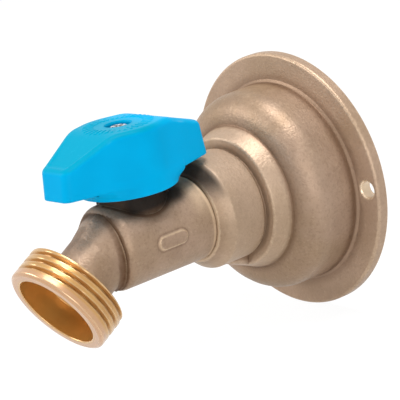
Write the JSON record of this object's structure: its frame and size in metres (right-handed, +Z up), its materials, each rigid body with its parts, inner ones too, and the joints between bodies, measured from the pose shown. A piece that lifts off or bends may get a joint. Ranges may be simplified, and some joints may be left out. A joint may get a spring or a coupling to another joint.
{
  "type": "hose bibb",
  "caption": "Quarter-turn ball-valve hose tap with a domed round wall flange, wing handle and down-angled threaded hose outlet.",
  "frame": {"origin": "centre of the wall flange's flat back face, on the axis of the pipe", "axes": "the wall is the plane y = 0 and lies towards +Y, the tap reaches out along -Y, +Z is up"},
  "size_m": [0.0672, 0.0869, 0.0672],
  "materials": {
    "cast_bronze": "sand-cast satin, machined at the outlet",
    "turned_brass": "turned",
    "ball_chrome": "polished",
    "seat_polymer": "matte",
    "seal_rubber": "matte",
    "handle_plastic": "satin gloss",
    "screw_steel": "satin"
  },
  "bodies": {
    "housing": {"wall_flange": "cast_bronze", "valve_body": "cast_bronze", "joint_ring": "seal_rubber", "seat_retainer": "turned_brass", "inlet_seat": "seat_polymer", "outlet_seat": "seat_polymer", "inlet_seat_ring": "seal_rubber", "outlet_seat_ring": "seal_rubber", "thrust_washer": "seat_polymer", "packing_washer": "turned_brass", "stem_packing": "seat_polymer", "gland_follower": "turned_brass", "packing_nut": "turned_brass"},
    "handle": {"handle": "handle_plastic", "stem": "turned_brass", "stem_ring_lower": "seal_rubber", "stem_ring_upper": "seal_rubber", "lock_washer": "screw_steel", "handle_screw": "screw_steel"},
    "ball": {"ball": "ball_chrome"}
  },
  "joints": [
    {"name": "handle_turn", "type": "hinge", "parent": "housing", "child": "handle", "pos_m": [0, -0.0528, 0], "axis": [0, 0, 1], "range_deg": [-90, 0]},
    {"name": "ball_turn", "type": "hinge", "parent": "housing", "child": "ball", "pos_m": [0, -0.0528, 0], "axis": [0, 0, 1], "range_deg": [-90, 0]}
  ],
  "couplings": [
    {"joint": "ball_turn", "follows": "handle_turn", "ratio": 1}
  ]
}
